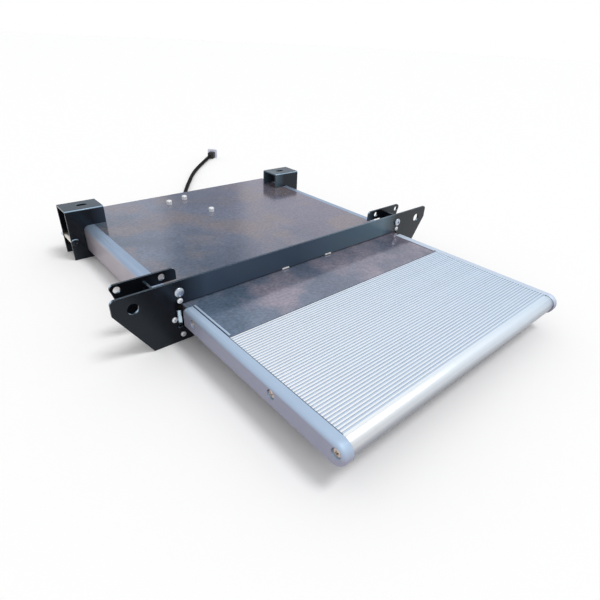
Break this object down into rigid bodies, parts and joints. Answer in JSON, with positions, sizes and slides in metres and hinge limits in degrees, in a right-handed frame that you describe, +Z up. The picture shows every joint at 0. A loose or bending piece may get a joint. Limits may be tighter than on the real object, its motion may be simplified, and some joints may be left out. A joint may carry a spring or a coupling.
{
  "type": "electric slide-out step",
  "caption": "Camper slide-out step: ribbed aluminium tread on slide bars in a railed casing with a black front plate, rear brackets and a belt-drive gearmotor.",
  "frame": {"origin": "centre of the footprint of the run-out step, on the plane of its lowest edges", "axes": "+Y runs back into the casing, so the step runs out along -Y; +X is to the right from the front; +Z is up"},
  "size_m": [0.6454, 1.1457, 0.086],
  "materials": {
    "black_coat": "satin powder coat",
    "galvanised_sheet": "glossy galvanised",
    "rail_aluminium": "satin anodised",
    "tread_aluminium": "bright satin",
    "zinc": "bright zinc plate",
    "yellow_zinc": "yellow zinc plate",
    "nylon": "natural",
    "die_cast": "as cast",
    "motor_steel": "grey paint",
    "black_plastic": "matt",
    "cable_jacket": "matt",
    "belt_rubber": "matt",
    "bronze": "sintered",
    "pale_plastic": "matt"
  },
  "bodies": {
    "casing": {"front_plate": "black_coat", "hanger_left": "black_coat", "hanger_right": "black_coat", "rail_left": "rail_aluminium", "rail_right": "rail_aluminium", "top_cover": "galvanised_sheet", "rear_panel": "galvanised_sheet", "rear_bracket_left": "black_coat", "rear_bracket_right": "black_coat", "bracket_sleeves": "yellow_zinc", "bracket_bolts": "black_coat", "bracket_nuts": "zinc", "plate_bolts": "zinc", "plate_nuts": "zinc", "plate_screws": "zinc", "panel_screws": "zinc", "glide_pads": "nylon", "gearbox": "die_cast", "motor_can": "motor_steel", "motor_terminal": "black_plastic", "motor_bolts": "zinc", "front_tie": "galvanised_sheet", "tie_screws": "zinc", "idler_pin": "zinc", "drive_belt": "belt_rubber", "cable_gland": "black_plastic", "cable": "cable_jacket", "connector_body": "black_plastic", "connector_flange": "pale_plastic"},
    "step": {"tread": "tread_aluminium", "deck": "galvanised_sheet", "trim_left": "rail_aluminium", "trim_right": "rail_aluminium", "trim_screws_left": "zinc", "trim_screws_right": "zinc", "slide_bar_left": "rail_aluminium", "slide_bar_right": "rail_aluminium", "crossbar_rear": "rail_aluminium", "crossbar_mid": "rail_aluminium", "shoe_front_left": "black_plastic", "shoe_front_right": "black_plastic", "shoe_rear_left": "black_plastic", "shoe_rear_right": "black_plastic", "drive_arm": "galvanised_sheet", "belt_clamp": "rail_aluminium", "arm_screws": "zinc"},
    "drive_wheel": {"drive_pulley": "zinc", "output_shaft": "zinc"},
    "idler_wheel": {"idler_pulley": "zinc", "idler_bush": "bronze"}
  },
  "joints": [
    {"name": "step_slide", "type": "slide", "parent": "casing", "child": "step", "axis": [0, 1, 0], "range_m": [0, 0.24]},
    {"name": "drive_spin", "type": "hinge", "parent": "casing", "child": "drive_wheel", "pos_m": [-0.028, 0.262, 0.013], "axis": [0, 0, 1], "range_deg": [-2, 868]},
    {"name": "idler_spin", "type": "hinge", "parent": "casing", "child": "idler_wheel", "pos_m": [-0.028, -0.029, 0.013], "axis": [0, 0, 1], "range_deg": [-2, 868]}
  ],
  "couplings": [
    {"joint": "drive_spin", "follows": "step_slide", "rad_per_m": 62.832},
    {"joint": "idler_spin", "follows": "step_slide", "rad_per_m": 62.832}
  ]
}
